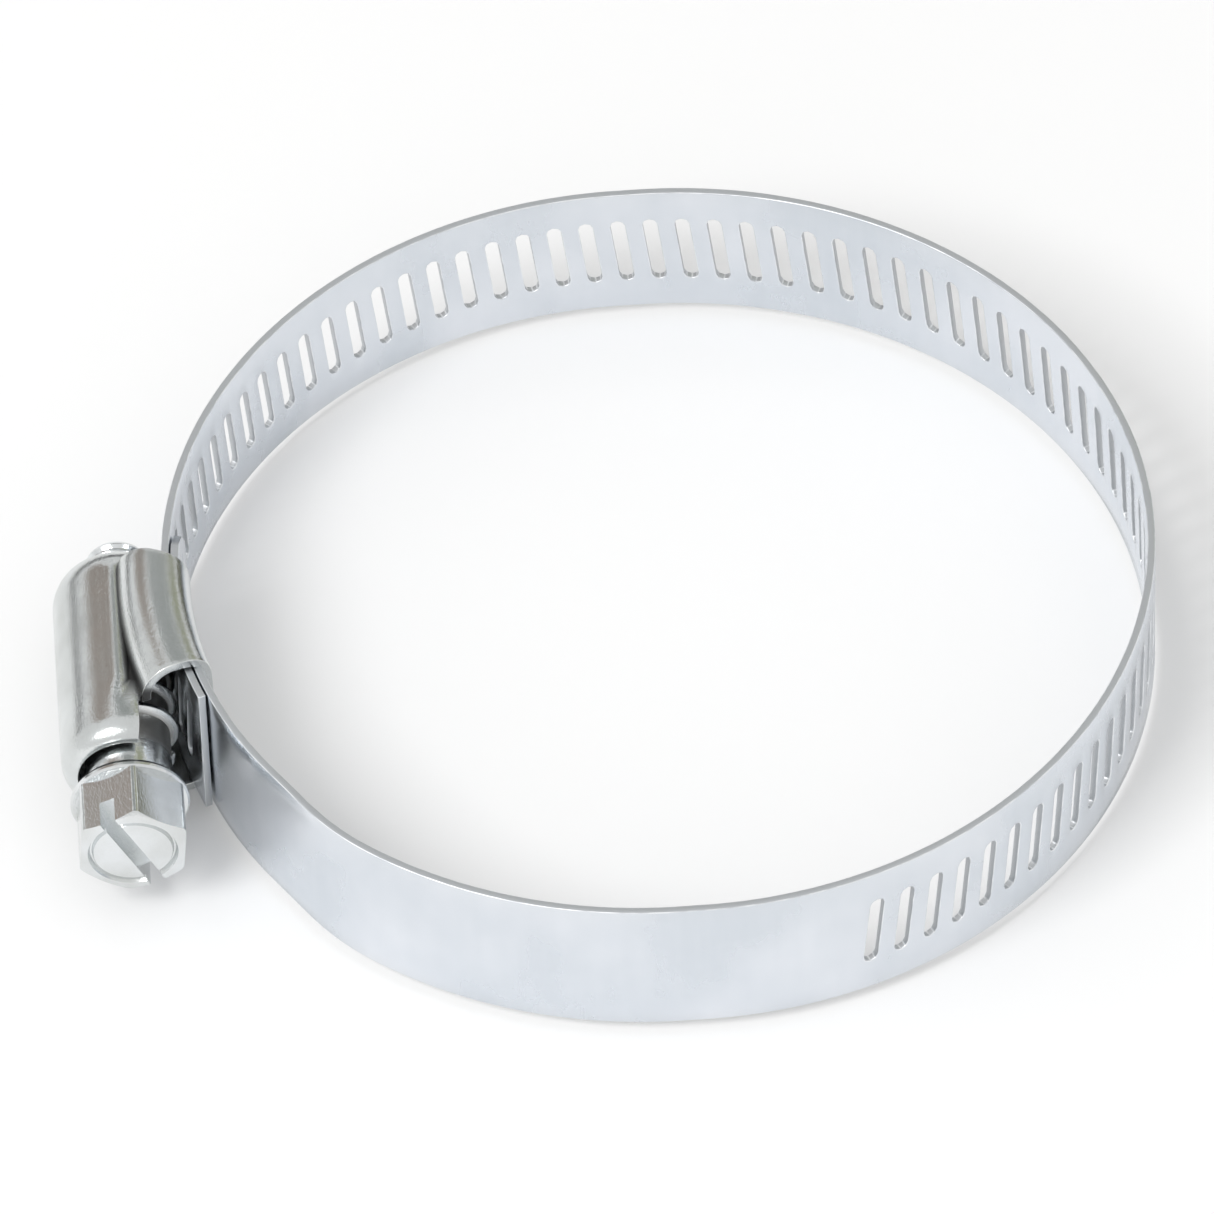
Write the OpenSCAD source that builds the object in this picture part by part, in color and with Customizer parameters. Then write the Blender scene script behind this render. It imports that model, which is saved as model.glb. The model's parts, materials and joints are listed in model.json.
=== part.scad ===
// Worm drive hose clamp: a slotted steel band bent to a ring, a stamped housing and a
// hexagon head screw whose worm runs in the band's slots.
// The origin is the centre of the hose bore, halfway up the band. +Z is the bore's axis.
// The housing is at -X, and the screw lies along Y with its head towards -Y.

/* [Band] */
// Width of the band
band_w = 12.7; // [12.7:0.1:12.9]
// Thickness of the band
band_t = 0.6; // [0.5:0.01:0.6]
// Radius of the band's inner face with the clamp fully open
bore_r = 36.6; // [36.4:0.05:36.8]
// How far the housing's half of the loop is moved out to make room for the housing's floor
loop_shift = 1.8; // [1.6:0.1:1.9]
// Angle from the middle of the housing to the square tip of the free end
tail_angle = 20; // [17:0.5:21]
// Clearance between the free end and the fixed end that it slides over
lap_gap = 0.15; // [0.1:0.01:0.2]
// Angle from the middle of the housing at which the fixed end starts to step outwards
step_angle = 34; // [32:0.5:36]
// Radius of the bend where the fixed end joins the ring
step_bend_r = 22; // [15:0.5:26]
// Angle from the middle of the housing to the tip of the fixed end's tongue
tongue_angle = 11.5; // [10:0.1:12]

/* [Slots] */
// Distance between slots along the band, which is the pitch of the worm
pitch = 2.54; // [2.5:0.01:2.56]
// Width of a slot
slot_w = 1.15; // [1.1:0.01:1.2]
// Length of a slot from end to end
slot_l = 6.8; // [6.6:0.1:7.2]
// Lean of the slots, which follows the worm's helix
slot_lean = 6.2; // [5.8:0.1:6.6]
// Number of slots between the middle of the housing and the first slot
slots_round = 64; // [60:1:64]
// Number of slots from the middle of the housing to the free end's tip
slots_tail = 4; // [3:1:4]

/* [Bending] */
// Number of rigid lengths that stand in for the flexible strip, with the fixed end left out
arcs = 7; // [7:1:7]
// Slots from one bending point to the next
arc_slots = 13; // [13:1:13]
// Slots from the middle of the housing back to the last bending point
last_bend = 8.5; // [8.5:1:8.5]

/* [Screw] */
// Height of the screw's axis over the band's outer face
axis_height = 3.45; // [3.43:0.01:3.5]
// Radius over the worm's thread
crest_r = 4.0; // [3.9:0.01:4.02]
// Radius of the worm between its threads
root_r = 3.35; // [3.3:0.01:3.38]
// Thickness of the thread at its foot, inside the core
thread_foot = 0.9; // [0.85:0.01:0.95]
// Thickness of the thread at its crest
thread_crest = 0.4; // [0.3:0.01:0.5]
// Turns of thread on the worm
thread_turns = 5; // [4:1:5]
// Size of the hexagon head across its flats
head_af = 7.94; // [7.9:0.01:8.0]
// Height of the hexagon head
head_h = 4.9; // [4.5:0.1:5.2]
// Radius of the collar behind the head
collar_r = 4.55; // [4.3:0.05:4.6]
// Thickness of the collar
collar_h = 0.9; // [0.7:0.05:1.0]
// Width of the screwdriver slot
driver_w = 1.25; // [1.1:0.05:1.3]
// Depth of the screwdriver slot
driver_d = 2.3; // [2.0:0.1:2.5]
// Angle that the screwdriver slot is turned by
driver_turn = 64; // [0:1:90]
// Radius of the tip that turns in the housing's rear end
tip_r = 2.6; // [2.5:0.01:2.8]
// Place of the tip's end along the screw
tip_end = 7.8; // [7.4:0.1:8.6]

/* [Housing] */
// Thickness of the stamped sheet
sheet = 0.75; // [0.7:0.01:0.78]
// Clearance between the housing's folds and the band
fold_gap = 0.08; // [0.06:0.01:0.1]
// Clearance between the screw and the holes that it turns in
turn_gap = 0.05; // [0.03:0.01:0.08]
// Outer radius of the dome over the worm
dome_r = 5.1; // [5.0:0.05:5.2]
// Place of the dome's front end along the screw
dome_front = -14.3; // [-14.5:0.1:-14.1]
// Place of the dome's rear end along the screw
dome_rear = 4.9; // [4.7:0.1:5.0]
// Angle from the middle of the housing to the front of the folded sides
fold_front = 15.4; // [14:0.2:15.6]
// Angle from the middle of the housing to the rear of the folded sides
fold_rear = 3.1; // [2.5:0.1:3.5]

/* [Hidden] */
$fn = 96;
eps = 0.01;
cut_gap = 0.02;                               // left open at each bending point

mid_r = bore_r + band_t / 2;
outer_r = bore_r + band_t;
fixed_r = mid_r - band_t - lap_gap;           // middle of the fixed end under the free end
quarter = mid_r * PI / 2;
axis_x = -(loop_shift + outer_r + axis_height);

// The band's length is measured back from the middle of the housing, over the free end.
right_start = quarter + loop_shift;
right_end = right_start + 2 * quarter;
left_start = right_end + loop_shift;
loop_length = left_start + quarter;

// Angles are rounded to a thousandth of a degree, so that stretches of the strip meet exactly.
function tidy(angle) = round(angle * 1000) / 1000;
function turn_of(length) = tidy(length / mid_r * 180 / PI);
function bend(i) = (last_bend + arc_slots * i) * pitch;

// The fixed end leaves its inner track on a short straight and joins the ring in a bend.
step_turn = acos((fixed_r - step_bend_r) / (mid_r - step_bend_r));
step_length = (mid_r - step_bend_r) * sin(step_turn);
join_angle = step_angle + step_turn;
first_bend_angle = turn_of(loop_length - bend(arcs - 1));

// A stretch of strip on an arc of middle radius r: turn is negative for a clockwise arc
module strip_arc(r, start, turn)
    rotate([0, 0, start]) mirror([0, turn < 0 ? 1 : 0, 0])
        rotate_extrude(angle = abs(turn))
            translate([r - band_t / 2, -band_w / 2]) square([band_t, band_w]);

// The straight stretch between the two halves of the loop, on the side facing y_side
module strip_flat(y_side)
    translate([-loop_shift, y_side * mid_r - band_t / 2, -band_w / 2])
        cube([loop_shift, band_t, band_w]);

// The strip on the loop between two lengths. Each arc starts at the end that meets a flat.
module strip(from, to) {
    back_to = min(to, quarter);
    right_from = max(from, right_start);
    right_to = min(to, right_end);
    front_from = max(from, left_start);
    if (from < quarter)
        translate([-loop_shift, 0, 0])
            strip_arc(mid_r, 180 - turn_of(back_to), turn_of(back_to - from));
    if (from < quarter && to > quarter)
        strip_flat(1);
    if (from <= right_start && to > right_start)
        strip_arc(mid_r, 90, -turn_of(right_to - right_start));
    if (from > right_start && from < right_end)
        strip_arc(mid_r, 90 - turn_of(right_to - right_start), turn_of(right_to - right_from));
    if (from < right_end && to > right_end)
        strip_flat(-1);
    if (to > left_start)
        translate([-loop_shift, 0, 0])
            strip_arc(mid_r, 270 - turn_of(front_from - left_start), -turn_of(to - front_from));
}

// Puts its children on the slotted band's middle at a length, with X outwards
module on_band(length) {
    flat_x = max(-loop_shift, min(0, length - right_start));
    turn = 180 - turn_of(min(length, quarter)) - turn_of(max(0, length - right_start));
    translate([flat_x, 0, 0]) rotate([0, 0, turn]) translate([mid_r, 0, 0]) children();
}

module slot()
    rotate([-slot_lean, 0, 0]) {
        cube([3 * band_t, slot_w, slot_l - slot_w], center = true);
        for (end = [-1, 1])
            translate([0, 0, end * (slot_l - slot_w) / 2])
                rotate([0, 90, 0]) cylinder(h = 3 * band_t, d = slot_w, center = true);
    }

module slots(from, to)
    for (i = [-slots_tail : slots_round])
        if (i * pitch > from && i * pitch < to)
            on_band(i * pitch) slot();

// A length of band between two bending points
module band_length(from, to)
    color("lightsteelblue")
        difference() {
            strip(from + cut_gap / 2, to - cut_gap / 2);
            slots(from, to);
        }

// The length that joins the ring to the fixed end
module stepped_length() {
    cut_turn = cut_gap / 2 / mid_r * 180 / PI;
    ring_end = loop_length - join_angle * PI / 180 * mid_r + 2 * eps;
    color("lightsteelblue") {
        difference() {
            strip(bend(arcs - 2) + cut_gap / 2, ring_end);
            slots(bend(arcs - 2), ring_end);
        }
        translate([-loop_shift, 0, 0]) {
            rotate([0, 0, 180 + join_angle]) translate([mid_r - step_bend_r, 0, 0])
                strip_arc(step_bend_r, 0.02, -step_turn - 0.02);
            rotate([0, 0, 180 + step_angle])
                translate([fixed_r - band_t / 2, -eps, -band_w / 2])
                    cube([band_t, step_length + 2 * eps, band_w]);
            strip_arc(fixed_r, 180 + step_angle, first_bend_angle + cut_turn - step_angle);
        }
    }
}

module band_fixed_end() {
    cut_turn = cut_gap / 2 / mid_r * 180 / PI;
    tongue_r = band_w / 2 + 0.6;
    color("lightsteelblue")
        translate([-loop_shift, 0, 0])
            intersection() {
                strip_arc(fixed_r, 180 - tongue_angle, tongue_angle + first_bend_angle - cut_turn);
                union() {
                    tip_y = fixed_r * sin(tongue_angle);
                    translate([-fixed_r, tip_y - tongue_r, 0])
                        rotate([0, 90, 0]) cylinder(h = 12, r = tongue_r, center = true);
                    translate([-fixed_r - 6, tip_y - tongue_r - 40, -band_w])
                        cube([12, 40, 2 * band_w]);
                }
            }
}

module band_free_end()
    color("lightsteelblue")
        difference() {
            strip(-tail_angle * PI / 180 * mid_r, bend(0) - cut_gap / 2);
            slots(-slots_tail * pitch - 1, bend(0));
        }

// The worm's ridge is one closed surface: four points across the thread, swept along the
// helix, with the ends sunk into the core. It is drawn along Z and laid along Y.
steps = 36;
swept = steps * thread_turns;
foot_r = root_r - 0.3;
sunk_r = root_r - 0.15;

function fade(n) = min(1, n / (steps / 4), (swept - n) / (steps / 4));
function ridge_r(n, r) = sunk_r + (r - sunk_r) * fade(n);
function ridge_point(n, offset, r) =
    [r * cos(360 * n / steps), r * sin(360 * n / steps), offset + pitch * n / steps];
ridge_points = [for (n = [0 : swept]) each [
    ridge_point(n, -thread_foot / 2, foot_r),
    ridge_point(n, -thread_crest / 2, ridge_r(n, crest_r)),
    ridge_point(n, thread_crest / 2, ridge_r(n, crest_r)),
    ridge_point(n, thread_foot / 2, foot_r)]];
ridge_sides = [for (n = [0 : swept - 1], k = [0 : 3]) let (a = 4 * n + k, b = 4 * n + (k + 1) % 4)
    each [[a, a + 4, b + 4], [a, b + 4, b]]];

head_face = dome_front - 2.2 - collar_h - head_h;
collar_face = head_face + head_h;
neck_start = collar_face + collar_h;
thread_start = -4 * pitch;
core_end = dome_rear - 1.6;
disc_r = 3.4;                                 // shallow recess in the head's face
face_r = head_af / 2 - 0.07;
chamfer_r = face_r + 0.8;
chamfer_h = 0.5;

module screw()
    color("tan")
        translate([axis_x, 0, 0]) rotate([-90, 0, 0]) {
            difference() {
                intersection() {
                    translate([0, 0, head_face]) rotate([0, 0, 35])
                        cylinder(h = head_h, d = head_af / cos(30), $fn = 6);
                    translate([0, 0, head_face])
                        rotate_extrude() polygon([[0, 0], [face_r, 0], [chamfer_r, chamfer_h],
                            [chamfer_r, head_h], [0, head_h]]);
                }
                translate([0, 0, head_face]) {
                    cylinder(h = 0.3, r = disc_r, center = true);
                    rotate([0, 0, driver_turn])
                        cube([12, driver_w, 2 * driver_d], center = true);
                }
            }
            translate([0, 0, collar_face - eps])
                rotate_extrude() polygon([[0, 0], [collar_r, 0], [collar_r, 0.3 * collar_h],
                    [collar_r - 0.3, collar_h + eps], [0, collar_h + eps]]);
            translate([0, 0, neck_start - eps])
                cylinder(h = core_end - neck_start + 2 * eps, r = root_r);
            translate([0, 0, core_end]) cylinder(h = tip_end - core_end - 0.5, r = tip_r);
            translate([0, 0, tip_end - 0.5 - eps])
                rotate_extrude() polygon([[0, 0], [tip_r, 0], [tip_r - 0.6, 0.5], [0, 0.5]]);
        }

// The thread is part of the screw. It is a node of its own because its surface is swept.
module worm_thread()
    color("tan")
        translate([axis_x, 0, 0]) rotate([-90, 0, 0]) translate([0, 0, thread_start])
            polyhedron(points = ridge_points, faces = concat(ridge_sides,
                [[0, 1, 2], [0, 2, 3]],
                [[4 * swept + 3, 4 * swept + 2, 4 * swept + 1],
                [4 * swept + 3, 4 * swept + 1, 4 * swept]]),
                convexity = 10);

// Half outline of the folds, from the housing's floor round the band's edge to the dome
floor_r = fixed_r - band_t / 2 - fold_gap - sheet;
edge_z = band_w / 2 + fold_gap + sheet;
side_r = 38.2;
side_round = 2.58;

module fold_outline(inset) {
    corner = 1.05 - inset;
    low = floor_r + inset;
    high = edge_z - inset;
    round_z = edge_z - side_round;
    for (side = [-1, 1]) {
        translate([low + corner, side * (high - corner)]) circle(r = corner);
        translate([side_r, side * round_z]) circle(r = side_round - inset);
    }
    translate([low + corner, -high]) square([side_r - low - corner, 2 * high]);
    translate([low, corner - high]) square([side_r - low, 2 * (high - corner)]);
    translate([side_r - eps, -round_z]) square([side_round - inset + eps, 2 * round_z]);
}

module fold_sweep(from, to, inset)
    translate([-loop_shift, 0, 0]) rotate([0, 0, 180 + from])
        rotate_extrude(angle = to - from) fold_outline(inset);

// The dome's outline along the screw: it necks in at the front and rounds off at the rear
module dome_solid() {
    front_shoulder = 1.7;
    front_r = root_r + turn_gap + sheet + 0.15;
    rear_r = tip_r + turn_gap + sheet;
    rear_points = [for (angle = [0 : 15 : 90])
        [rear_r + (dome_r - rear_r) * cos(angle), dome_rear - (dome_r - rear_r) * 1.4 * (1 - sin(angle))]];
    rotate_extrude() polygon(concat(
        [[0, dome_front], [front_r, dome_front], [dome_r, dome_front + front_shoulder]],
        rear_points, [[0, dome_rear]]));
}

module dome_hollow() {
    rotate_extrude() polygon([[0, dome_front + sheet], [root_r + turn_gap, dome_front + sheet],
        [dome_r - sheet, dome_front + 2.2], [dome_r - sheet, dome_rear - 2.2],
        [root_r + turn_gap, dome_rear - 1], [0, dome_rear - 1]]);
    translate([0, 0, dome_front - 1]) cylinder(h = 4, r = root_r + turn_gap);
    translate([0, 0, dome_rear - 2]) cylinder(h = 4, r = tip_r + turn_gap);
}

module housing() {
    dome_edge_x = axis_x + 2.15;
    color("silver")
        difference() {
            union() {
                fold_sweep(-fold_rear, fold_front, 0);
                intersection() {
                    translate([axis_x, 0, 0]) rotate([-90, 0, 0]) dome_solid();
                    translate([dome_edge_x - 10, -20, -10]) cube([10, 30, 20]);
                }
            }
            fold_sweep(-fold_rear - 1, fold_front + 1, sheet);
            translate([axis_x, 0, 0]) rotate([-90, 0, 0]) dome_hollow();
        }
}

housing();
screw();
worm_thread();
band_fixed_end();
stepped_length();  // band_length_1
band_length(bend(4), bend(5));  // band_length_2
band_length(bend(3), bend(4));  // band_length_3
band_length(bend(2), bend(3));  // band_length_4
band_length(bend(1), bend(2));  // band_length_5
band_length(bend(0), bend(1));  // band_length_6
band_free_end();
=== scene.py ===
import json
import math

import bmesh
import bpy
from mathutils import Matrix, Vector
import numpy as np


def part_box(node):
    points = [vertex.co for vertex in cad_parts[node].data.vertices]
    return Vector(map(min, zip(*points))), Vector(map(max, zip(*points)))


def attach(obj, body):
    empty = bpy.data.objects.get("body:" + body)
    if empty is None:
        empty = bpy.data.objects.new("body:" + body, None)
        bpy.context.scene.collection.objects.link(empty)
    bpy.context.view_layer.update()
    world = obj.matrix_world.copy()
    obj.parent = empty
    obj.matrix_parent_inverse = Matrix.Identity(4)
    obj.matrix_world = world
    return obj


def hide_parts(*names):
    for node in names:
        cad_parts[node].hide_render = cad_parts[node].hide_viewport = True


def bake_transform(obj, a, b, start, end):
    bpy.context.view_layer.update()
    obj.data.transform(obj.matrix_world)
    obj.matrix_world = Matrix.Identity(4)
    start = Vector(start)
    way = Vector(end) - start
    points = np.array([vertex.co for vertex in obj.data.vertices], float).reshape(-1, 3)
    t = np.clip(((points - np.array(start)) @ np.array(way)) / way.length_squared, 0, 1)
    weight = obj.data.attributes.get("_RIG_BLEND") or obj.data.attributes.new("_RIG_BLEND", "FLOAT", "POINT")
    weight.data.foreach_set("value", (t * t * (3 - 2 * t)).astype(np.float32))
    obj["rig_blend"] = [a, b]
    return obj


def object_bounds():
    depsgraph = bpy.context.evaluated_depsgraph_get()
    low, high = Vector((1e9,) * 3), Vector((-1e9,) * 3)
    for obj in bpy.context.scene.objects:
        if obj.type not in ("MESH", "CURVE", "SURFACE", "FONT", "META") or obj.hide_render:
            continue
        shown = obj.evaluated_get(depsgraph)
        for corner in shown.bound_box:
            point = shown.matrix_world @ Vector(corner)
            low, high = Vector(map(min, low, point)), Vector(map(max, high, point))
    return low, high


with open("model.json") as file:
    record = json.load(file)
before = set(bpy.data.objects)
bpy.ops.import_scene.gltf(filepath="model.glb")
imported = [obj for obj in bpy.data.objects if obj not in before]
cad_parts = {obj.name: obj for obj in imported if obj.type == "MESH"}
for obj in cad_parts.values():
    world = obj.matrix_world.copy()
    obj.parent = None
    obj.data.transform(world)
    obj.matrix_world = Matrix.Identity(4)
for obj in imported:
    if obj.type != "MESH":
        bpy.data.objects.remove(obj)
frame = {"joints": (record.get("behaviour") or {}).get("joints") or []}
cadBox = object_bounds()

# pieces are shaped in millimetres and shrunk to metres when they are finished
mm = 0.001
joints = {joint["name"]: joint for joint in frame["joints"]}
screwAxis = Vector(joints["screw_turn"]["pos_m"]) / mm
housingLow, housingHigh = (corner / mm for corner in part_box("housing"))
screwLow, screwHigh = (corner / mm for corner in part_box("screw"))
quarterTurn = math.pi / 2
hair = 0.01  # millimetres: nearer than this counts as the same place
weld = {"newPiece": 0.0001, "finishedPiece": 0.001, "bandCells": 0.002}  # millimetres

# degrees and millimetres, with the target and the distance in metres
camera = {"target": (-0.0050, -0.0006, 0), "distance": 1.1355, "azimuth": -2.08, "elevation": 48.4,
          "roll": -2.235, "lens": 438.0, "sensor": 36.0}


def addCamera():
    turn, rise, roll = (math.radians(camera[key]) for key in ("azimuth", "elevation", "roll"))
    ahead = Vector((-math.sin(turn) * math.cos(rise), math.cos(turn) * math.cos(rise), -math.sin(rise)))
    right = Vector((math.cos(turn), math.sin(turn), 0))
    up = right.cross(ahead)
    rolledRight = right * math.cos(roll) + up * math.sin(roll)
    rolledUp = up * math.cos(roll) - right * math.sin(roll)
    data = bpy.data.cameras.new("camera")
    data.lens = camera["lens"]
    data.sensor_width = camera["sensor"]
    view = bpy.data.objects.new("camera", data)
    bpy.context.scene.collection.objects.link(view)
    facing = Matrix((rolledRight, rolledUp, -ahead)).transposed()
    place = Vector(camera["target"]) - ahead * camera["distance"]
    view.matrix_world = Matrix.Translation(place) @ facing.to_4x4()
    bpy.context.scene.camera = view


addCamera()
print("camera ready")


def finishPiece(name, mesh, material):
    bmesh.ops.remove_doubles(mesh, verts=mesh.verts, dist=weld["newPiece"])
    bmesh.ops.scale(mesh, vec=(mm, mm, mm), verts=mesh.verts)
    data = bpy.data.meshes.new(name)
    mesh.to_mesh(data)
    mesh.free()
    piece = bpy.data.objects.new(name, data)
    bpy.context.scene.collection.objects.link(piece)
    data.materials.append(material)
    return piece


def shadeByAngle(mesh, limit):
    # edges sharper than the limit stay crisp, and the rest are shaded smooth
    for face in mesh.faces:
        face.smooth = True
    for edge in mesh.edges:
        edge.smooth = len(edge.link_faces) == 2 and edge.calc_face_angle(0) < math.radians(limit)


def roundEdges(mesh, limit, width, segments, keep=()):
    # the edges sharper than the limit, with the rounded faces marked as worn for the metals
    worn = mesh.faces.layers.float.new("worn")
    edges = [edge for edge in mesh.edges
             if len(edge.link_faces) == 2 and edge.calc_face_angle(0) > math.radians(limit)
             and edge.index not in keep]
    made = bmesh.ops.bevel(mesh, geom=edges, offset=width, offset_type="OFFSET", segments=segments,
                           profile=0.5, affect="EDGES", clamp_overlap=True, material=-1)
    for face in made["faces"]:
        face[worn] = 1


def alongScrew(mesh):
    # a shape turned about Z is laid along the screw, with its start towards the head
    upright = Matrix.Rotation(-quarterTurn, 3, "X")
    bmesh.ops.rotate(mesh, verts=mesh.verts, cent=(0, 0, 0), matrix=upright)
    bmesh.ops.translate(mesh, verts=mesh.verts, vec=(screwAxis.x, 0, 0))


def chain(mesh, points):
    verts = [mesh.verts.new(point) for point in points]
    edges = [mesh.edges.new(pair) for pair in zip(verts, verts[1:])]
    return verts, edges


def sweepChain(mesh, verts, edges, angle, steps, closed=False, rise=0):
    bmesh.ops.spin(mesh, geom=verts + edges, cent=(0, 0, 0), axis=(0, 0, 1), dvec=(0, 0, rise),
                   angle=angle, steps=steps, use_merge=closed, use_duplicate=False)


def limited(value):
    # held between nothing and the whole
    return max(0, min(1, value))


def addModifier(piece, kind, **values):
    modifier = piece.modifiers.new(kind.title(), kind)
    for key, value in values.items():
        setattr(modifier, key, value)


def applyModifiers(piece):
    graph = bpy.context.evaluated_depsgraph_get()
    data = bpy.data.meshes.new_from_object(piece.evaluated_get(graph), depsgraph=graph)
    piece.modifiers.clear()
    piece.data = data


def finishEdges(piece, limit, width):
    # the piece is already in metres, and its edges sharper than the limit are rounded
    mesh = bmesh.new()
    mesh.from_mesh(piece.data)
    bmesh.ops.remove_doubles(mesh, verts=mesh.verts, dist=weld["finishedPiece"] * mm)
    bmesh.ops.dissolve_degenerate(mesh, edges=mesh.edges, dist=weld["finishedPiece"] * mm)
    bmesh.ops.recalc_face_normals(mesh, faces=mesh.faces)
    roundEdges(mesh, limit, width * mm, 3)
    shadeByAngle(mesh, limit)
    mesh.to_mesh(piece.data)
    mesh.free()
    addModifier(piece, "WEIGHTED_NORMAL", weight=60, keep_sharp=True)


def feed(tree, node, sources):
    # each input takes a link from another node's socket, or a plain value
    for key, source in sources.items():
        if isinstance(source, bpy.types.NodeSocket):
            tree.links.new(source, node.inputs[key])
        else:
            node.inputs[key].default_value = source


def addNode(tree, kind, sources, **settings):
    node = tree.nodes.new("ShaderNode" + kind)
    for key, value in settings.items():
        setattr(node, key, value)
    feed(tree, node, sources)
    return node.outputs


def startGroup(name, inputs, outputs):
    group = bpy.data.node_groups.new(name, "ShaderNodeTree")
    for direction, sockets in (("INPUT", inputs), ("OUTPUT", outputs)):
        for socketName, kind in sockets.items():
            group.interface.new_socket(socketName, in_out=direction, socket_type="NodeSocket" + kind)
    return group, group.nodes.new("NodeGroupInput").outputs, group.nodes.new("NodeGroupOutput")


# shared by all three metals: blotches are mixed with grain, and rubbed patches break up worn edges
metalDetail = {"blotchDetail": 4, "blotchFrom": 0.35, "blotchTo": 0.65, "grainDetail": 6,
               "grainShare": 0.35, "blotchHeight": 0.4, "patchSize": 700, "patchFrom": 0.3,
               "patchTo": 0.6, "darkRoughness": 0.45}


def makeSteelGroup():
    # blotches and fine rolled grain, on coordinates in metres
    group, given, result = startGroup(
        "steelSurface",
        {"Coordinates": "Vector", "Light Colour": "Color", "Dark Colour": "Color",
         "Blotch Size": "Float", "Grain Size": "Float", "Smooth Roughness": "Float",
         "Dull Roughness": "Float", "Grain Stretch": "Vector"},
        {"Colour": "Color", "Roughness": "Float", "Height": "Float"})
    blotch = addNode(group, "TexNoise", {
        "Vector": given["Coordinates"], "Scale": given["Blotch Size"],
        "Detail": metalDetail["blotchDetail"]})["Fac"]
    spread = addNode(group, "MapRange", {
        "Value": blotch, "From Min": metalDetail["blotchFrom"],
        "From Max": metalDetail["blotchTo"]})["Result"]
    stretched = addNode(group, "VectorMath", {
        0: given["Coordinates"], 1: given["Grain Stretch"]}, operation="MULTIPLY")["Vector"]
    grain = addNode(group, "TexNoise", {
        "Vector": stretched, "Scale": given["Grain Size"], "Detail": metalDetail["grainDetail"]})["Fac"]
    mottle = addNode(group, "Mix", {
        "Factor": metalDetail["grainShare"], "A": spread, "B": grain})["Result"]
    feed(group, result, {
        "Colour": addNode(group, "Mix", {
            "Factor": mottle, "A": given["Light Colour"], "B": given["Dark Colour"]},
            data_type="RGBA")["Result"],
        "Roughness": addNode(group, "Mix", {
            "Factor": mottle, "A": given["Smooth Roughness"], "B": given["Dull Roughness"]})["Result"],
        "Height": addNode(group, "Math", {
            0: blotch, 1: metalDetail["blotchHeight"], 2: grain}, operation="MULTIPLY_ADD")["Value"]})
    return group


def makeEdgeGroup():
    # painted shade darkens sheared edges and deep grooves, and painted grease and shade the screw's core,
    # all of them rougher; rubbed edges are brighter in patches
    group, given, result = startGroup(
        "edgeTone",
        {"Coordinates": "Vector", "Colour": "Color", "Deep Colour": "Color", "Worn Colour": "Color",
         "Roughness": "Float", "Dark": "Float", "Worn": "Float"},
        {"Colour": "Color", "Roughness": "Float"})
    patches = addNode(group, "TexNoise", {
        "Vector": given["Coordinates"], "Scale": metalDetail["patchSize"]})["Fac"]
    broken = addNode(group, "MapRange", {
        "Value": patches, "From Min": metalDetail["patchFrom"],
        "From Max": metalDetail["patchTo"]})["Result"]
    rubbed = addNode(group, "Math", {0: given["Worn"], 1: broken}, operation="MULTIPLY")["Value"]
    darkened = addNode(group, "Mix", {
        "Factor": given["Dark"], "A": given["Colour"], "B": given["Deep Colour"]},
        data_type="RGBA")["Result"]
    feed(group, result, {
        "Colour": addNode(group, "Mix", {
            "Factor": rubbed, "A": darkened, "B": given["Worn Colour"]}, data_type="RGBA")["Result"],
        "Roughness": addNode(group, "Mix", {
            "Factor": given["Dark"], "A": given["Roughness"],
            "B": metalDetail["darkRoughness"]})["Result"]})
    return group


steelSurface = makeSteelGroup()
edgeTone = makeEdgeGroup()
print("surface groups ready")


def makeSteel(name, look):
    material = bpy.data.materials.new(name)
    material.use_nodes = True
    tree = material.node_tree
    shader = tree.nodes["Principled BSDF"]
    shader.inputs["Metallic"].default_value = look["metallic"]
    shader.inputs["Specular IOR Level"].default_value = 0.5
    place = addNode(tree, "TexCoord", {})["Object"]
    surface = addNode(tree, "Group", {
        "Coordinates": place, "Light Colour": (*look["light"], 1), "Dark Colour": (*look["dark"], 1),
        "Blotch Size": look["blotchSize"], "Grain Size": look["grainSize"],
        "Grain Stretch": look["grainStretch"], "Smooth Roughness": look["smoothRoughness"],
        "Dull Roughness": look["dullRoughness"]}, node_tree=steelSurface)
    edges = addNode(tree, "Group", {
        "Coordinates": place, "Colour": surface["Colour"], "Roughness": surface["Roughness"],
        "Deep Colour": (*look["deepColour"], 1), "Worn Colour": (*look["wornColour"], 1),
        "Dark": addNode(tree, "Attribute", {}, attribute_name="dark")["Fac"],
        "Worn": addNode(tree, "Attribute", {}, attribute_name="worn")["Fac"]}, node_tree=edgeTone)
    bump = addNode(tree, "Bump", {
        "Strength": look["bump"], "Distance": look["bumpDepth"], "Height": surface["Height"]})
    feed(tree, shader, {
        "Base Color": edges["Colour"], "Roughness": edges["Roughness"], "Normal": bump["Normal"]})
    return material


# the deep colour is painted shade on the band's sheared edges and slot walls
bandSteel = makeSteel("bandSteel", {
    "light": (0.785, 0.81, 0.85), "dark": (0.64, 0.68, 0.725), "metallic": 1.0,
    "deepColour": (0.58, 0.60, 0.62), "wornColour": (0.86, 0.88, 0.90),
    "blotchSize": 90, "grainSize": 900, "grainStretch": (1, 1, 0.12),
    "smoothRoughness": 0.18, "dullRoughness": 0.32, "bump": 0.12, "bumpDepth": 0.00002})
# the deep colour is painted shade, near black, for the groove between dome and lobe
housingSteel = makeSteel("housingSteel", {
    "light": (0.745, 0.77, 0.775), "dark": (0.56, 0.58, 0.57), "metallic": 1.0,
    "deepColour": (0.10, 0.10, 0.10), "wornColour": (0.92, 0.92, 0.91),
    "blotchSize": 220, "grainSize": 6500, "grainStretch": (1, 0.6, 1),
    "smoothRoughness": 0.14, "dullRoughness": 0.27, "bump": 0.6, "bumpDepth": 0.00003})
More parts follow.
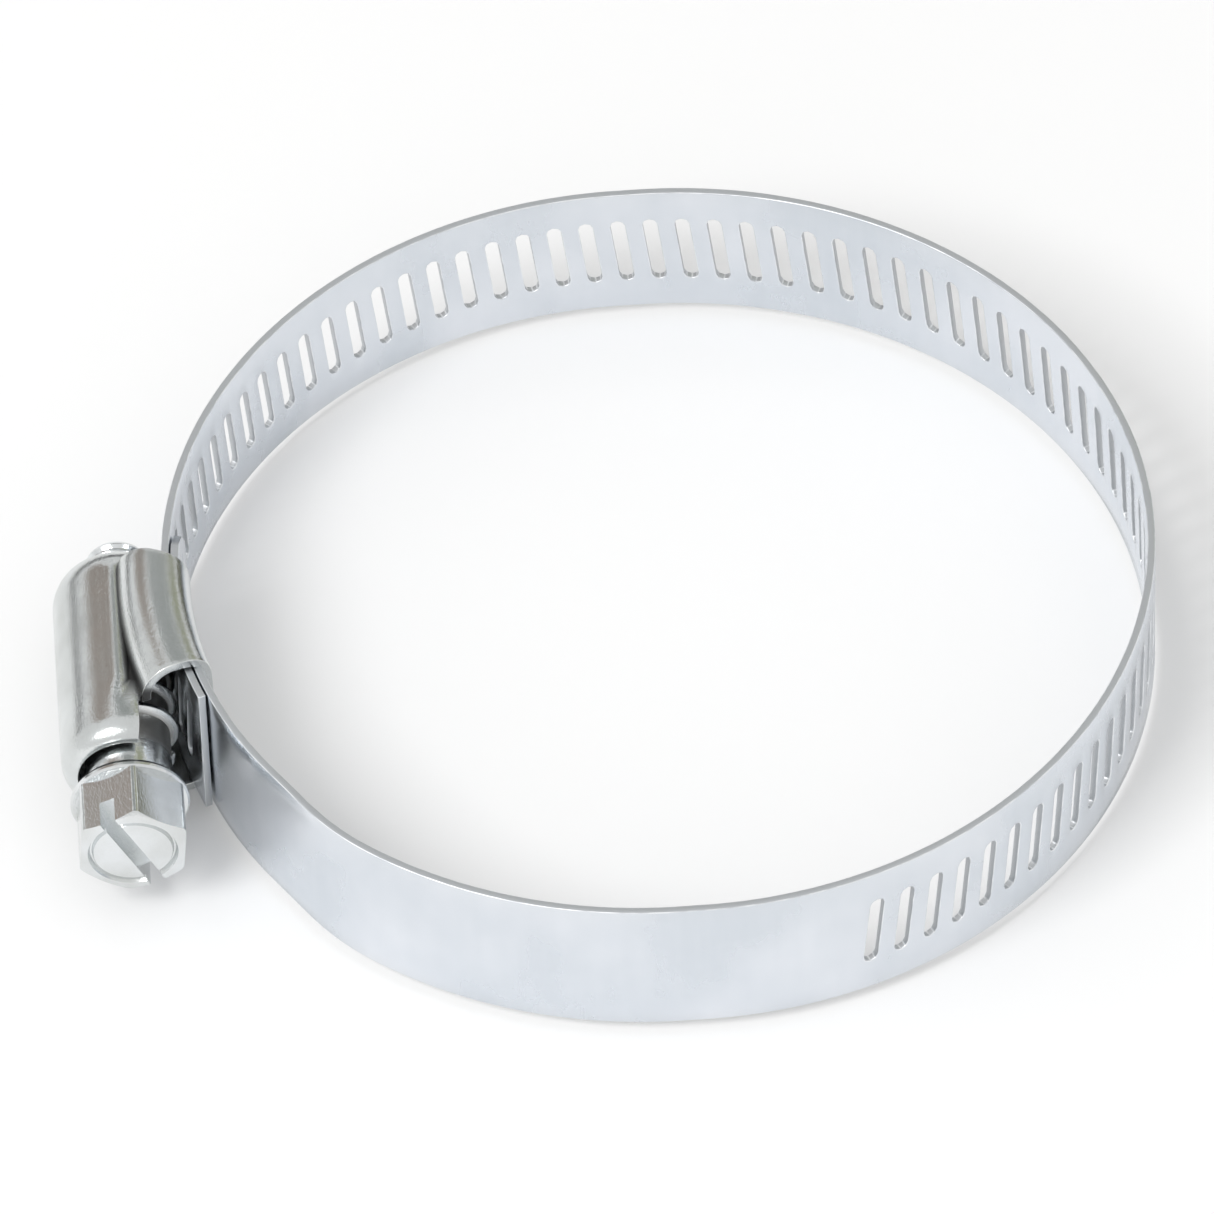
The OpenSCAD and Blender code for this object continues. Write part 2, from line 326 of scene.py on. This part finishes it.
# the deep colour is painted grease and shade between the threads
screwSteel = makeSteel("screwSteel", {
    "light": (0.80, 0.825, 0.84), "dark": (0.63, 0.645, 0.635), "metallic": 1.0,
    "deepColour": (0.30, 0.29, 0.27), "wornColour": (0.94, 0.93, 0.91),
    "blotchSize": 260, "grainSize": 6000, "grainStretch": (1, 0.6, 1),
    "smoothRoughness": 0.10, "dullRoughness": 0.24, "bump": 0.55, "bumpDepth": 0.00003})
print("metals ready")


# millimetres and degrees; angles are measured from the middle of the housing, and slots counted from it
band = {"width": 12.7, "thickness": 0.6, "radius": 36.9, "shift": 1.8, "tailAngle": 20.0,
        "fixedRadius": 36.15, "stepAngle": 34.0, "stepBend": 22.0, "tongueAngle": 11.5,
        "tongueRound": 6.95, "tonguePitches": 3, "pitch": 2.54, "slotWidth": 1.15, "slotLength": 6.8,
        "slotLean": 6.2, "leanOutPitches": 3, "firstSlot": 64, "lastSlot": -4, "ringHeight": 4.7,
        "edgeRound": 0.07, "roundAbove": 40, "creaseAbove": 50}


def bandRoute():
    # stretches from the free tip round to the tongue: (length, radius), radius 0 being straight
    radius, bend, fixed = band["radius"], band["stepBend"], band["fixedRadius"]
    tail, step, tongue = (math.radians(band[key]) for key in ("tailAngle", "stepAngle", "tongueAngle"))
    stepTurn = math.acos((fixed - bend) / (radius - bend))
    stepLength = (radius - bend) * math.sin(stepTurn)
    join = step + stepTurn
    return [((tail + quarterTurn) * radius, radius), (band["shift"], 0), (math.pi * radius, radius),
            (band["shift"], 0), ((quarterTurn - join) * radius, radius), (stepTurn * bend, bend),
            (stepLength, 0), ((step + tongue) * fixed, fixed)]


route = bandRoute()
tailLength = math.radians(band["tailAngle"]) * band["radius"]
bandEnd = sum(length for length, _ in route) - tailLength


def onBand(length, out, height):
    # length runs from the middle of the housing round to the tongue, and is negative on the tail
    left = length + tailLength
    angle = math.pi + math.radians(band["tailAngle"])
    place = Vector((math.cos(angle), math.sin(angle))) * band["radius"] - Vector((band["shift"], 0))
    heading = angle - quarterTurn
    for stretch, radius in route:
        step = min(left, stretch) if stretch is not route[-1][0] else left
        if radius:
            centre = place + radius * Vector((math.sin(heading), -math.cos(heading)))
            heading -= step / radius
            place = centre + radius * Vector((-math.sin(heading), math.cos(heading)))
        else:
            place = place + step * Vector((math.cos(heading), math.sin(heading)))
        left -= step
        if left <= 0:
            break
    place = place + out * Vector((-math.sin(heading), math.cos(heading)))
    return Vector((place.x, place.y, height))


def leanAt(length):
    # the cells lean with the slots, and stand upright at the tip and past the first slot
    slotsFrom = (band["lastSlot"] - 0.5) * band["pitch"]
    slotsTo = (band["firstSlot"] + 0.5) * band["pitch"]
    full = math.tan(math.radians(band["slotLean"]))
    if length < slotsFrom:
        return full * (length + tailLength) / (slotsFrom + tailLength)
    if length > slotsTo:
        return full * max(0, 1 - (length - slotsTo) / (band["leanOutPitches"] * band["pitch"]))
    return full


def flatCell(mesh, middle, width, slotted):
    # one pitch of the strip: the grid's inner columns are drawn to the slot's outline
    half, end = band["pitch"] / 2, band["slotWidth"] / 2
    slant = end * math.cos(math.pi / 4)
    columns = [-half, -end, -slant, 0, slant, end, half]
    rise = [0, 0, slant, end, slant, 0, 0]
    straight = band["slotLength"] / 2 - end
    rows = [-band["width"] / 2, -band["ringHeight"], None, None, band["ringHeight"], band["width"] / 2]
    across, up = len(columns) - 1, len(rows) - 1
    made = bmesh.ops.create_grid(mesh, x_segments=across, y_segments=up, size=0.5)["verts"]
    for vert in made:
        column, row = round((vert.co.x + 0.5) * across), round((vert.co.y + 0.5) * up)
        height = rows[row]
        if height is None:
            height = math.copysign(straight + rise[column], row - up / 2)
        vert.co = (middle + columns[column] * width / band["pitch"], 0, height)
    if slotted:
        hole = {face for vert in made for face in vert.link_faces
                if abs(face.calc_center_median().x - middle) < end
                and abs(face.calc_center_median().z) < straight}
        bmesh.ops.delete(mesh, geom=list(hole), context="FACES_ONLY")


def roundTongue(mesh):
    # the tongue's end is drawn in to an arc across the band
    reach = band["tongueRound"]
    back = bandEnd - band["tonguePitches"] * band["pitch"]
    for vert in mesh.verts:
        if vert.co.x > back:
            arc = bandEnd - reach + math.sqrt(max(0, reach ** 2 - vert.co.z ** 2))
            vert.co.x = back + (vert.co.x - back) / (bandEnd - back) * (arc - back)


def bandStretch(name, first, last, seams):
    # first, last and the seams, where the next stretch carries on, are counted in pitches
    mesh = bmesh.new()
    pitch = band["pitch"]
    index = math.floor(first + 0.5)
    while index - 0.5 < last - hair:
        start, stop = max(first, index - 0.5), min(last, index + 0.5)
        whole = stop - start > 1 - hair
        slotted = whole and band["lastSlot"] <= index <= band["firstSlot"]
        flatCell(mesh, (start + stop) / 2 * pitch, (stop - start) * pitch, slotted)
        index += 1
    bmesh.ops.remove_doubles(mesh, verts=mesh.verts, dist=weld["bandCells"])
    if last * pitch > bandEnd - hair:
        roundTongue(mesh)
    sheet = bmesh.ops.extrude_face_region(mesh, geom=mesh.faces[:])
    lifted = [part for part in sheet["geom"] if isinstance(part, bmesh.types.BMVert)]
    bmesh.ops.translate(mesh, verts=lifted, vec=(0, band["thickness"], 0))
    bmesh.ops.translate(mesh, verts=mesh.verts, vec=(0, -band["thickness"] / 2, 0))
    bmesh.ops.recalc_face_normals(mesh, faces=mesh.faces)
    # the sheared edges and slot walls are marked for painted shade and a rougher finish
    dark = mesh.faces.layers.float.new("dark")
    for face in mesh.faces:
        face[dark] = abs(face.normal.y) < 0.5  # the sheared edges
    mesh.edges.index_update()
    seamEdges = {edge.index for edge in mesh.edges for seam in seams
                 if all(abs(vert.co.x - seam * pitch) < hair for vert in edge.verts)}
    roundEdges(mesh, band["roundAbove"], band["edgeRound"], 2, seamEdges)
    for vert in mesh.verts:
        length = vert.co.x - leanAt(vert.co.x) * vert.co.z
        vert.co = onBand(length, vert.co.y, vert.co.z)
    shadeByAngle(mesh, band["creaseAbove"])
    return finishPiece(name, mesh, bandSteel)


bodies = ["clamp_body"] + ["band_length_%d" % i for i in range(1, 7)] + ["band_free_end"]
# each bending point lies inside a bend piece, so the pieces meet between them
seamPitches = [89.5, 80.5, 67.5, 54.5, 41.5, 28.5, 15.5, 6.5]


def makeBand():
    tipPitch, endPitch = -tailLength / band["pitch"], bandEnd / band["pitch"]
    fixedEnd = bandStretch("band_fixed", seamPitches[0], endPitch, seamPitches[:1])
    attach(fixedEnd, "clamp_body")
    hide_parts("band_fixed_end")
    for i, (begin, stop) in enumerate(zip(seamPitches, seamPitches[1:])):
        piece = bandStretch("band_bend_%d" % (i + 1), stop, begin, (stop, begin))
        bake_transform(piece, bodies[i], bodies[i + 1], start=onBand(begin * band["pitch"], 0, 0) * mm,
                 end=onBand(stop * band["pitch"], 0, 0) * mm)
        if bodies[i + 1] != "band_free_end":
            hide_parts(bodies[i + 1])
    freeEnd = bandStretch("band_free", tipPitch, seamPitches[-1], seamPitches[-1:])
    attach(freeEnd, "band_free_end")
    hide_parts("band_free_end")


makeBand()
print("band ready")

# millimetres and degrees; dome angles are measured from the side away from the band
housing = {"sheet": 0.75, "domeRadius": 5.1, "domeSweep": 114.0, "domeSteps": 56, "lengthSteps": 12,
           "endInset": 0.075, "frontSweep": 103.0, "frontLap": -9.6, "frontLapRun": 1.2,
           "frontRound": 1.5, "frontSteps": 6, "frontHole": 3.42, "rearRound": 2.5, "rearSteps": 8,
           "rearHole": 2.66, "lipHeight": 0.2, "lipAngle": 80.0, "grooveAngle": 92.0,
           "grooveDepth": 0.27, "grooveStart": 0.3, "grooveRun": 3, "grooveTop": 5.75,
           "grooveFade": 0.5, "foldFront": 15.4, "foldRear": 3.4, "foldSteps": 24, "rearCurve": 2.6,
           "floorRadius": 35.02, "floorSteps": 5, "lobeWidth": 4.95, "lobeHeight": 2.6,
           "lobeTop": 7.02, "lobeSteps": 28, "edgePower": 3.4, "valleyPower": 2.0, "valleyDip": 6.0,
           "seamGap": 0.1, "seamWave": 1.1, "rimRound": 0.13, "creaseAbove": 50}


def neckIn(hole, radius, bend, steps):
    # from the rim of an end's hole out to the tube, as (radius, distance from the end)
    rim = hole + housing["sheet"] / 2
    turns = [quarterTurn * i / steps for i in range(steps + 1)]
    return [(rim + (radius - rim) * math.sin(turn), bend * (1 - math.cos(turn))) for turn in turns]


def makeDome(mesh, dark):
    # the sheet's middle line, turned about the screw: a tube that necks in at both ends
    radius = housing["domeRadius"] - housing["sheet"] / 2
    front, rear = housingLow.y + housing["endInset"], housingHigh.y - housing["endInset"]
    frontNeck = neckIn(housing["frontHole"], radius, housing["frontRound"], housing["frontSteps"])
    rearNeck = neckIn(housing["rearHole"], radius, housing["rearRound"], housing["rearSteps"])
    points = [(r, front + inwards) for r, inwards in frontNeck]
    start, steps = points[-1][1], housing["lengthSteps"]
    length = rear - housing["rearRound"] - start
    points += [(radius, start + length * i / steps) for i in range(1, steps)]
    points += [(r, rear - inwards) for r, inwards in reversed(rearNeck)]
    verts, edges = chain(mesh, [(0, r, z) for r, z in points])
    sweep = math.radians(housing["domeSweep"])
    for vert in verts:
        vert.co = Matrix.Rotation(quarterTurn - sweep, 3, "Z") @ vert.co
    sweepChain(mesh, verts, edges, 2 * sweep, housing["domeSteps"])
    alongScrew(mesh)
    narrow = 1 - housing["frontSweep"] / housing["domeSweep"]
    lip, groove = housing["lipAngle"], housing["grooveAngle"]
    for vert in mesh.verts:
        # in front of the folds the tube's edges stand further back, and beside them
        # the sheet turns up in a lip and drops into the groove
        across, height = vert.co.x - screwAxis.x, vert.co.z
        angle, reach = math.atan2(height, -across), math.hypot(across, height)
        ahead = limited((housing["frontLap"] - vert.co.y) / housing["frontLapRun"])
        angle *= 1 - narrow * ahead
        degrees = math.degrees(abs(angle))
        if degrees > lip and reach > radius - hair:
            run = (degrees - groove) / housing["grooveRun"]
            rise = housing["lipHeight"] * math.sin(min(1, (degrees - lip) / (groove - lip)) * math.pi)
            drop = housing["grooveDepth"] * limited(run + housing["grooveStart"])
            reach += (rise - drop) * (1 - ahead)
            # the groove is painted dark as shade, fading out in front of the folds
            vert[dark] = limited(run + 1) * (1 - ahead)
        vert.co.x = screwAxis.x - reach * math.cos(angle)
        vert.co.z = reach * math.sin(angle)


def foldOutline():
    # from the seam under the band, round the band's edge and over to the dome, above the middle
    width, height, steps = housing["lobeWidth"], housing["lobeHeight"], housing["lobeSteps"]
    floor = housing["floorRadius"] + housing["sheet"] / 2
    middle, base = floor + width / 2, housing["lobeTop"] - height
    points = [(floor, base * i / housing["floorSteps"]) for i in range(housing["floorSteps"])]
    for i in range(steps + 1):
        turn = math.radians(180 - (180 + housing["valleyDip"]) * i / steps)
        power = housing["edgePower"] if turn > quarterTurn else housing["valleyPower"]
        run, rise = (math.copysign(abs(part) ** (2 / power), part)
                     for part in (math.cos(turn), math.sin(turn)))
        points.append((middle + width / 2 * run, base + height * rise))
    return points


def makeFolds(mesh, dark):
    # the outline is turned about the band's centre; the floor's first row is drawn to the seam
    sweep = math.radians(housing["foldFront"] + housing["foldRear"])
    rear, floor = math.radians(housing["foldRear"]), housing["floorRadius"]
    for side in (-1, 1):
        before = set(mesh.verts)
        verts, edges = chain(mesh, [(radius, 0, side * z) for radius, z in foldOutline()])
        for vert in verts:
            vert.co = Matrix.Rotation(math.pi - rear, 3, "Z") @ vert.co
        sweepChain(mesh, verts, edges, sweep, housing["foldSteps"])
        for vert in set(mesh.verts) - before:
            radius, angle = math.hypot(vert.co.x, vert.co.y), math.atan2(-vert.co.y, -vert.co.x)
            along = (angle + rear) / sweep
            if abs(vert.co.z) < hair:
                wave = housing["seamWave"] * (abs(2 * along - 1) * 2 - 1)
                vert.co.z = wave + side * housing["seamGap"] / 2
            # painted shade darkens the lobe's wall in the groove, below the groove's top
            if radius > floor + housing["lobeWidth"] / 2:
                vert[dark] = limited((housing["grooveTop"] - abs(vert.co.z)) / housing["grooveFade"])
            # the rear edge curves forward towards the floor
            inner = limited(1 - (radius - floor) / housing["lobeWidth"])
            angle += math.radians(housing["rearCurve"]) * inner ** 2 * (1 - along)
            vert.co.x = -radius * math.cos(angle) - band["shift"]
            vert.co.y = -radius * math.sin(angle)


def makeHousing():
    mesh = bmesh.new()
    dark = mesh.verts.layers.float.new("dark")
    makeDome(mesh, dark)
    makeFolds(mesh, dark)
    bmesh.ops.recalc_face_normals(mesh, faces=mesh.faces)
    piece = finishPiece("housing_shell", mesh, housingSteel)
    addModifier(piece, "SOLIDIFY", thickness=housing["sheet"] * mm, offset=0)
    applyModifiers(piece)
    finishEdges(piece, housing["creaseAbove"], housing["rimRound"])
    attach(piece, "clamp_body")
    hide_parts("housing")


makeHousing()
print("housing ready")

# millimetres and degrees; each profile is a list of (outwards, along) past the place it starts from
screw = {"headFlats": 7.94, "headHeight": 4.9, "headTurn": 35.0, "cornerRound": 0.35, "cornerSteps": 4,
         "faceRadius": 3.4, "faceDepth": 0.12,
         "ringGroove": [(-0.4, 0.12), (-0.26, 0.45), (-0.14, 0.45), (0.05, 0)],
         "rimIn": 0.12, "rimDrop": 0.02, "chamfer": 0.55, "chamferReach": 0.62,
         "slotWidth": 1.25, "slotDepth": 2.3, "slotCut": 12, "slotTurn": 64.0, "edgeRound": 0.05,
         "headCrease": 30, "shaftCrease": 28, "collarRadius": 4.55,
         "collarProfile": [(-0.15, -0.02), (0, 0.12), (0, 0.35), (-0.3, 0.8), (-0.42, 0.9)],
         "neckRadius": 3.35, "neckProfile": [(0.12, 0.92), (0, 1.05)], "coreEnd": 1.6, "coreStep": 0.1,
         "tipRadius": 2.6, "tipRings": 3, "ringPitch": 0.75, "ringTaper": 0.08,
         "ringProfile": [(0, 0.1), (-0.25, 0.37), (-0.25, 0.46), (-0.04, 0.72)],
         "tipProfile": [(-0.3, -0.42), (-0.55, -0.12), (-0.95, 0)],
         "crestRadius": 4.0, "threadFrom": -5.0, "threadTurns": 6, "threadFoot": 0.4,
         "threadCrest": 0.2, "crestRound": 0.05, "threadSink": 0.3, "footFlare": 0.1,
         "threadRunOut": 0.35, "turnSteps": 60, "latheSteps": 96,
         "greaseAndShade": 0.75, "greaseAndShadeFrom": -0.3, "greaseAndShadeFade": 0.9}


def lathe(mesh, points):
    verts, edges = chain(mesh, [(radius, 0, z) for radius, z in points])
    sweepChain(mesh, verts, edges, 2 * math.pi, screw["latheSteps"], closed=True)
    bmesh.ops.remove_doubles(mesh, verts=mesh.verts, dist=weld["newPiece"])


def cutWith(head, mesh, operation):
    cutter = finishPiece("cutter", mesh, screwSteel)
    addModifier(head, "BOOLEAN", operation=operation, solver="EXACT", object=cutter)
    applyModifiers(head)
    bpy.data.objects.remove(cutter)


def makeHead():
    face, height, flats = screwLow.y, screw["headHeight"], screw["headFlats"]
    mesh = bmesh.new()
    bmesh.ops.create_cone(mesh, cap_ends=True, segments=6, radius1=flats / math.sqrt(3),
                          radius2=flats / math.sqrt(3), depth=height)
    bmesh.ops.rotate(mesh, verts=mesh.verts, cent=(0, 0, 0),
                     matrix=Matrix.Rotation(math.radians(screw["headTurn"] - 30), 3, "Z"))
    bmesh.ops.translate(mesh, verts=mesh.verts, vec=(0, 0, face + height / 2))
    corners = [edge for edge in mesh.edges if abs(edge.verts[0].co.z - edge.verts[1].co.z) > 1]
    bmesh.ops.bevel(mesh, geom=corners, offset=screw["cornerRound"], offset_type="OFFSET",
                    segments=screw["cornerSteps"], profile=0.5, affect="EDGES", clamp_overlap=True,
                    material=-1)
    alongScrew(mesh)
    head = finishPiece("screw_head", mesh, screwSteel)

    # the chamfered rim, the ring groove and the sunken face
    mesh = bmesh.new()
    wide, disc = flats * screw["chamferReach"], face + screw["faceDepth"]
    ring = [(screw["faceRadius"] + out, face + along) for out, along in screw["ringGroove"]]
    lathe(mesh, [(0, disc)] + ring + [
        (flats / 2 - screw["rimIn"], face + screw["rimDrop"]), (wide, face + screw["chamfer"]),
        (wide, face + height + 1), (0, face + height + 1)])
    alongScrew(mesh)
    bmesh.ops.recalc_face_normals(mesh, faces=mesh.faces)
    cutWith(head, mesh, "INTERSECT")

    # the driver slot
    mesh = bmesh.new()
    bmesh.ops.create_cube(mesh, size=1)
    bmesh.ops.scale(mesh, vec=(screw["slotCut"], screw["slotWidth"], 2 * screw["slotDepth"]),
                    verts=mesh.verts)
    bmesh.ops.rotate(mesh, verts=mesh.verts, cent=(0, 0, 0),
                     matrix=Matrix.Rotation(math.radians(screw["slotTurn"]), 3, "Z"))
    bmesh.ops.translate(mesh, verts=mesh.verts, vec=(0, 0, face))
    alongScrew(mesh)
    cutWith(head, mesh, "DIFFERENCE")
    return head


def makeShaft():
    # collar, neck and core, with shallow grooves in the tip
    back = screwLow.y + screw["headHeight"]
    collar, neck, tip = screw["collarRadius"], screw["neckRadius"], screw["tipRadius"]
    greaseAndShadeStart = screw["threadFrom"] * band["pitch"] + screw["greaseAndShadeFrom"]
    coreEnd = housingHigh.y - screw["coreEnd"]
    collarRim = [(collar + out, back + along) for out, along in screw["collarProfile"]]
    points = [(0, collarRim[0][1])] + collarRim
    points += [(neck + out, back + along) for out, along in screw["neckProfile"]]
    points += [(neck, greaseAndShadeStart - screw["greaseAndShadeFade"]), (neck, greaseAndShadeStart),
               (neck, coreEnd - screw["coreStep"]), (tip, coreEnd + screw["coreStep"])]
    for i in range(screw["tipRings"]):
        place, radius = housingHigh.y + i * screw["ringPitch"], tip - i * screw["ringTaper"]
        points += [(radius + out, place + along) for out, along in screw["ringProfile"]]
    points += [(tip + out, screwHigh.y + along) for out, along in screw["tipProfile"]]
    points.append((0, screwHigh.y))
    mesh = bmesh.new()
    dark = mesh.verts.layers.float.new("dark")
    lathe(mesh, points)
    for vert in mesh.verts:
        # painted grease and painted shade lie on the core between the threads
        if greaseAndShadeStart - hair < vert.co.z < coreEnd + screw["coreStep"] + hair:
            vert[dark] = screw["greaseAndShade"]
    return mesh


def addThread(mesh):
    # the ridge's outline is wound along the screw, a pitch a turn
    pitch, neck, crest = band["pitch"], screw["neckRadius"], screw["crestRadius"]
    foot, top, turns = screw["threadFoot"], screw["threadCrest"], screw["threadTurns"]
    sunk, curve = neck - screw["threadSink"], screw["crestRound"]
    start, steps = screw["threadFrom"] * pitch, screw["turnSteps"]
    halfOutline = [(sunk, foot + screw["footFlare"]), (neck, foot), (crest - curve, top),
                   (crest, top - curve)]
    outline = [(r, -z) for r, z in halfOutline] + halfOutline[::-1]
    made = set(mesh.verts)
    verts, edges = chain(mesh, [(r, 0, start + z) for r, z in outline])
    edges.append(mesh.edges.new((verts[-1], verts[0])))
    sweepChain(mesh, verts, edges, 2 * math.pi * turns, steps * turns, rise=pitch / steps)
    bmesh.ops.holes_fill(mesh, edges=[edge for edge in mesh.edges if edge.is_boundary], sides=0)
    dark = mesh.verts.layers.float["dark"]
    for vert in set(mesh.verts) - made:
        # the ridge grows out of the core over the first third of a turn, and sinks over the last
        radius = math.hypot(vert.co.x, vert.co.y)
        if radius > neck:
            along = (vert.co.z - start) / pitch
            grown = limited((min(along, turns - along) + 0.1) / screw["threadRunOut"])
            low = neck - curve
            scale = (low + (radius - low) * grown) / radius
            vert.co.x *= scale
            vert.co.y *= scale
        # the thread's flanks and root take the painted grease and shade, and the crest stays clean
        vert[dark] = 0 if radius > crest - 2 * curve else screw["greaseAndShade"]


def makeScrew():
    head = makeHead()
    mesh = makeShaft()
    addThread(mesh)
    alongScrew(mesh)
    bmesh.ops.recalc_face_normals(mesh, faces=mesh.faces)
    shadeByAngle(mesh, screw["shaftCrease"])
    shaft = finishPiece("screw_shaft", mesh, screwSteel)
    finishEdges(head, screw["headCrease"], screw["edgeRound"])
    for piece in (head, shaft):
        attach(piece, "screw")
    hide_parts("screw")
    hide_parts("worm_thread")


makeScrew()
print("screw ready")

# metres; the softbox lights the clamp from the front left
studio = {"floorSize": 6.0, "floorGap": 0.0003, "floorColour": (0.93, 0.93, 0.93), "matt": 0.9,
          "worldColour": (1, 1, 1), "worldStrength": 0.85, "cardDistance": 0.8,
          "softboxPlace": (-0.6, -0.5, 0.9), "softboxSize": 0.5, "softboxPower": 6}

# cards for the metal to reflect: degrees as seen from the clamp, azimuth from +Y towards +X
cards = {
    "darkSkirting": {"azimuth": 0, "elevation": 4.5, "size": (3.0, 0.16),
                     "colour": (0.012, 0.012, 0.015)},
    "brownCard": {"azimuth": -36, "elevation": 33, "size": (0.34, 0.30), "colour": (0.35, 0.30, 0.265)},
    "greyCard": {"azimuth": -2, "elevation": 50, "size": (0.30, 0.20), "colour": (0.30, 0.32, 0.31)},
    "oliveCard": {"azimuth": 27, "elevation": 38, "size": (0.26, 0.26), "colour": (0.34, 0.35, 0.24)},
    "darkCard": {"azimuth": 49, "elevation": 17, "size": (0.34, 0.24), "colour": (0.17, 0.17, 0.11)}}


def addStagePiece(name, mesh, colour):
    data = bpy.data.meshes.new(name)
    mesh.to_mesh(data)
    mesh.free()
    piece = bpy.data.objects.new(name, data)
    bpy.context.scene.collection.objects.link(piece)
    material = bpy.data.materials.new(name)
    material.use_nodes = True
    shader = material.node_tree.nodes["Principled BSDF"]
    shader.inputs["Base Color"].default_value = (*colour, 1)
    shader.inputs["Roughness"].default_value = studio["matt"]
    shader.inputs["Specular IOR Level"].default_value = 0.0
    data.materials.append(material)


def addCard(name, look):
    turn, rise = math.radians(look["azimuth"]), math.radians(look["elevation"])
    away = Vector((math.sin(turn) * math.cos(rise), math.cos(turn) * math.cos(rise), math.sin(rise)))
    mesh = bmesh.new()
    bmesh.ops.create_grid(mesh, x_segments=1, y_segments=1, size=0.5)
    bmesh.ops.scale(mesh, vec=(*look["size"], 1), verts=mesh.verts)
    facing = (-away).to_track_quat("Z", "Y").to_matrix()
    bmesh.ops.rotate(mesh, verts=mesh.verts, cent=(0, 0, 0), matrix=facing)
    bmesh.ops.translate(mesh, verts=mesh.verts, vec=away * studio["cardDistance"])
    addStagePiece(name, mesh, look["colour"])


def addFloor():
    mesh = bmesh.new()
    bmesh.ops.create_grid(mesh, x_segments=1, y_segments=1, size=studio["floorSize"] / 2)
    bmesh.ops.translate(mesh, verts=mesh.verts, vec=(0, 0, cadBox[0][2] - studio["floorGap"]))
    addStagePiece("floor", mesh, studio["floorColour"])


def addSoftbox():
    data = bpy.data.lights.new("keySoftbox", "AREA")
    data.shape = "RECTANGLE"
    data.size = data.size_y = studio["softboxSize"]
    data.energy = studio["softboxPower"]
    lamp = bpy.data.objects.new("keySoftbox", data)
    bpy.context.scene.collection.objects.link(lamp)
    lamp.location = studio["softboxPlace"]
    lamp.rotation_euler = (-Vector(studio["softboxPlace"])).to_track_quat("-Z", "Y").to_euler()


def addWorld():
    world = bpy.data.worlds.new("studio")
    bpy.context.scene.world = world
    world.use_nodes = True
    background = world.node_tree.nodes["Background"]
    background.inputs["Color"].default_value = (*studio["worldColour"], 1)
    background.inputs["Strength"].default_value = studio["worldStrength"]


addFloor()
addWorld()
for cardName, cardLook in cards.items():
    addCard(cardName, cardLook)
addSoftbox()
bpy.context.scene.view_settings.view_transform = "Standard"
print("studio ready")
